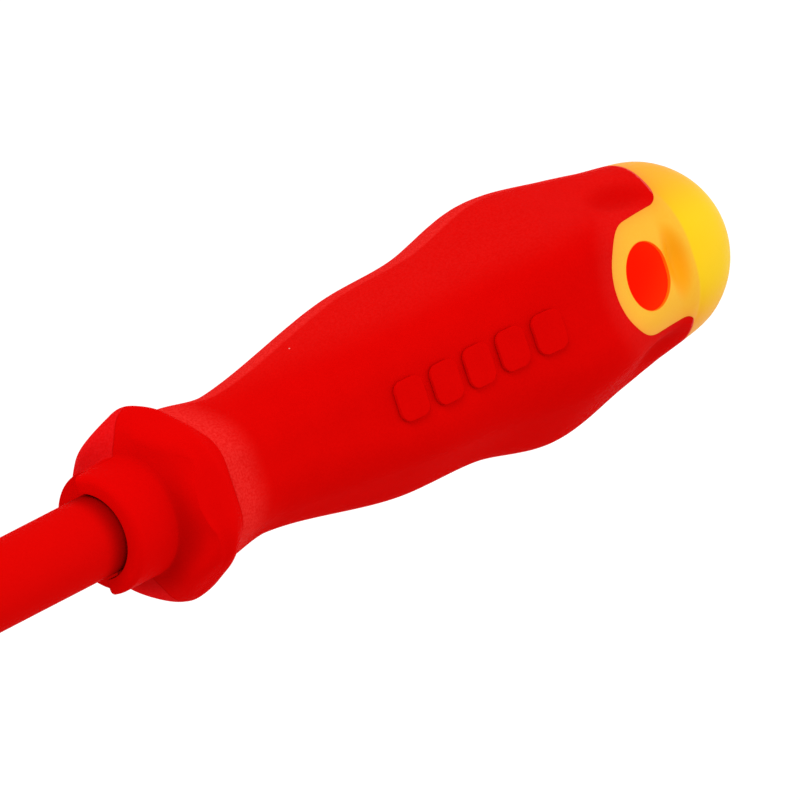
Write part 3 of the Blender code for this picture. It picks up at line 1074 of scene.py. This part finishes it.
# painted shade on the sleeve's last few millimetres before the collar
shade = ramp(tree, along_it, HANDLE_FRONT - 3.4 * MM, HANDLE_FRONT - 0.2 * MM, 0.0, 0.9)
tree.links.new(mix_color(tree, shade, body, (0.34, 0.0008, 0.0006)), shader.inputs["Base Color"])
report_finish(sleeve_red)

# %% [markdown]
# The cap is yellow with painted light and shade in its colour: a clearer, lit yellow on the dome,
# painted shade as orange towards the handle's edges, in the scoops and at the hole's mouth, and a
# painted reddish glow beside the red, where light passes a little way through both plastics.
# How close each point of the cap is to the grip is measured once and kept on its mesh as an
# attribute that the material reads.

# %% Measure how near the red is
GLOW_REACH = 1.1 * MM

red_points = [vert.co for vert in grip.data.vertices]
tree_of_points = KDTree(len(red_points))
for number, point in enumerate(red_points):
    tree_of_points.insert(point, number)
tree_of_points.balance()
near = cap.data.attributes.new("near_red", "FLOAT", "POINT")
for vert in cap.data.vertices:
    gap = tree_of_points.find(vert.co)[2]
    near.data[vert.index].value = math.exp(-gap / GLOW_REACH)
print("cap points beside the red:", sum(item.value > 0.5 for item in near.data))

# %% Finish of the cap
YELLOW = (0.97, 0.50, 0.035)
DEEP_YELLOW = (0.96, 0.48, 0.03)
LIT_DOME_YELLOW = (0.99, 0.62, 0.010)
SHADED_SIDE_YELLOW = (0.97, 0.43, 0.020)
SCOOP_SHADE_ORANGE = (0.98, 0.36, 0.004)
RED_GLOW_ORANGE = (0.98, 0.20, 0.03)
MOUTH_SHADE_ORANGE = (0.99, 0.22, 0.003)

cap_yellow, tree, shader, body = plastic(
    "cap_yellow",
    color=YELLOW,
    deep=DEEP_YELLOW,
    roughness=0.38,
    grain=2400.0,
    line_height=1.5,
    bump=0.010 * MM,
    Specular_IOR_Level=0.03,
)
axes = object_axes(tree)
crease_x = HANDLE_FRONT + CREASE
# painted light: a clearer yellow on the dome; painted shade: more orange towards the handle's edges
dome = ramp(tree, axes["X"], crease_x - 0.5 * MM, crease_x + 0.1 * MM)
sides = ramp(tree, maths(tree, "ABSOLUTE", axes["Y"]), 3.0 * MM, 10.5 * MM)
body = mix_color(tree, dome, body, mix_color(tree, sides, LIT_DOME_YELLOW, SHADED_SIDE_YELLOW))
# painted shade in the scoops
along_scoop = maths(tree, "SUBTRACT", axes["X"], HANDLE_FRONT + SCOOP_PLACE - 0.3 * MM)
along_scoop = maths(tree, "DIVIDE", along_scoop, SCOOP_HALF_LENGTH)
across_scoop = maths(tree, "DIVIDE", axes["Y"], SCOOP_HALF_WIDTH)
off_scoop = sum_of_squares(tree, along_scoop, across_scoop)
body = mix_color(tree, fade(tree, off_scoop, 0.15, 1.0, 0.95), body, SCOOP_SHADE_ORANGE)
# a painted reddish glow beside the red
glow = add_node(tree, "ShaderNodeAttribute", attribute_name="near_red").outputs["Fac"]
body = mix_color(tree, maths(tree, "MULTIPLY", glow, 0.45, True), body, RED_GLOW_ORANGE)
# painted shade at the hole's mouth
from_hole = maths(tree, "SUBTRACT", axes["X"], HANDLE_FRONT + HOLE)
off_hole = sum_of_squares(tree, from_hole, axes["Y"])
mouth = fade(tree, off_hole, (HOLE_RADIUS + 0.02 * MM) ** 2, (HOLE_RADIUS + 0.12 * MM) ** 2)
body = mix_color(tree, mouth, body, MOUTH_SHADE_ORANGE)
tree.links.new(body, shader.inputs["Base Color"])
report_finish(cap_yellow)

# %% [markdown]
# The tip is bare steel, ground across the blade. Fine marks that run along Y are a noise squeezed
# along X, and they show in the roughness and as a very small relief.

# %% Finish of the blade
MARKS_ALONG_X = 9000.0
MARKS_ACROSS = 260.0

blade_steel, tree, shader = new_material("blade_steel", Metallic=1.0)
squeeze = add_node(tree, "ShaderNodeMapping")
squeeze.inputs["Scale"].default_value = (MARKS_ALONG_X, MARKS_ACROSS, MARKS_ACROSS)
tree.links.new(object_place(tree), squeeze.inputs["Vector"])
marks = noise(tree, squeeze.outputs["Vector"], 1.0, 3.0)
steel = mix_color(tree, marks, (0.42, 0.42, 0.43), (0.66, 0.66, 0.67))
tree.links.new(steel, shader.inputs["Base Color"])
tree.links.new(ramp(tree, marks, 0.3, 0.7, 0.22, 0.40), shader.inputs["Roughness"])
set_bump(tree, shader, marks, 0.006 * MM)
report_finish(blade_steel)

# %% [markdown]
# ## Put the pieces in the frame
# Every piece rides on the one fixed body, takes its slot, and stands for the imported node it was
# modelled after. The pads are part of the grip.

# %% Ride, replace and name the slots
for piece, material, slot, node in (
    (blade, blade_steel, "blade_steel", "blade"),
    (sleeve, sleeve_red, "sleeve_red", "blade_insulation"),
    (core, core_red, "core_red", "handle_core"),
    (grip, grip_red, "grip_red", "soft_grip"),
    (cap, cap_yellow, "cap_yellow", "end_cap"),
    (pads, grip_red, "grip_red", None),
):
    piece.data.materials.clear()
    piece.data.materials.append(material)
    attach(piece, "root")
    if node:
        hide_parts(node)
    print(piece.name, "takes slot", slot, "for node", node)

# %% [markdown]
# ## Camera
# The camera stands well back with a long lens, so lines that are parallel on the tool stay so in
# the picture. It looks down at about 45 degrees with a roll that lays the handle across the
# picture, from low on the left to high on the right.

# %% Camera
CAMERA_DISTANCE = 4.0
PICTURE_WIDTH = 95.24 * MM
TURN = math.radians(43)
LEAN = math.radians(-13.5)
SLANT = math.radians(27.35)

along_x = Vector((math.cos(TURN) * math.cos(SLANT), math.cos(TURN) * math.sin(SLANT), -math.sin(TURN)))
toward = Vector((math.cos(SLANT), math.sin(SLANT), 0)) * math.cos(LEAN) * math.sin(TURN)
toward += Vector((-math.sin(SLANT), math.cos(SLANT), 0)) * math.sin(LEAN)
along_z = Vector((toward.x, toward.y, math.cos(LEAN) * math.cos(TURN)))
along_y = along_z.cross(along_x)
right = Vector((along_x.x, along_y.x, along_z.x))
up = Vector((along_x.y, along_y.y, along_z.y))
behind = Vector((along_x.z, along_y.z, along_z.z))

bpy.ops.object.select_all(action="DESELECT")
bpy.ops.object.camera_add()
camera = bpy.context.object
aim = Vector((HANDLE_FRONT + 55 * MM, 0, 0)) + right * 0.5 * MM - up * 2.3 * MM
camera.matrix_world = Matrix.Translation(aim + behind * CAMERA_DISTANCE) @ Matrix(
    (right, up, behind)
).transposed().to_4x4()
camera.data.lens = camera.data.sensor_width * CAMERA_DISTANCE / PICTURE_WIDTH
camera.data.clip_end = 100
bpy.context.scene.camera = camera
bpy.context.scene.view_settings.view_transform = "Standard"
print("camera looks down", round(math.degrees(math.asin(behind.z)), 1), "degrees")

# %% [markdown]
# ## Floor
# The floor is a plain pale sheet a little below the tool. The camera sees it as an even glow, so
# it stays pale without shadows, and to all other rays it is a matt surface that sends soft light
# back up to the tool. A Light Path node in the material itself tells the two apart.

# %% Floor
FLOOR_DROP = 0.3 * MM
FLOOR_GLOW = 1.1

bpy.ops.object.select_all(action="DESELECT")
bpy.ops.mesh.primitive_plane_add(size=6, location=(0.1, 0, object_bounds()[0].z - FLOOR_DROP))
floor = bpy.context.object
floor.name = "floor"
floor_white, tree, shader = new_material("floor_white", Base_Color=(0.9, 0.9, 0.9, 1), Roughness=0.9)
seen = add_node(tree, "ShaderNodeLightPath").outputs["Is Camera Ray"]
glowing = add_node(tree, "ShaderNodeEmission")
glowing.inputs["Strength"].default_value = FLOOR_GLOW
both = add_node(tree, "ShaderNodeMixShader")
tree.links.new(seen, both.inputs[0])
tree.links.new(shader.outputs[0], both.inputs[1])
tree.links.new(glowing.outputs[0], both.inputs[2])
tree.links.new(both.outputs[0], tree.nodes["Material Output"].inputs["Surface"])
floor.data.materials.append(floor_white)
print("floor at", round(floor.location.z / MM, 1), "mm")

# %% [markdown]
# ## Light
# Large soft studio lights are stood in for by an even white world and two very wide suns. The
# stronger sun shines from the blade's end and the +Y side, the weaker one from behind the cap.

# %% Light
WORLD_STRENGTH = 0.72

world = bpy.data.worlds.new("studio")
world.use_nodes = True
bpy.context.scene.world = world
fill = world.node_tree.nodes["Background"]
fill.inputs["Color"].default_value = (1, 1, 1, 1)
fill.inputs["Strength"].default_value = WORLD_STRENGTH

for name, direction, energy, spread_angle in (
    ("front_light", Vector((-0.50, 0.75, 0.43)), 1.0, 32),
    ("rear_light", Vector((0.75, -0.10, 0.65)), 0.80, 60),
):
    bpy.ops.object.select_all(action="DESELECT")
    bpy.ops.object.light_add(type="SUN", location=direction)
    lamp = bpy.context.object
    lamp.name = name
    lamp.rotation_mode = "QUATERNION"
    lamp.rotation_quaternion = direction.to_track_quat("Z", "Y")
    lamp.data.energy = energy
    lamp.data.angle = math.radians(spread_angle)
    print(name, "energy", energy, "angle", spread_angle, "degrees")
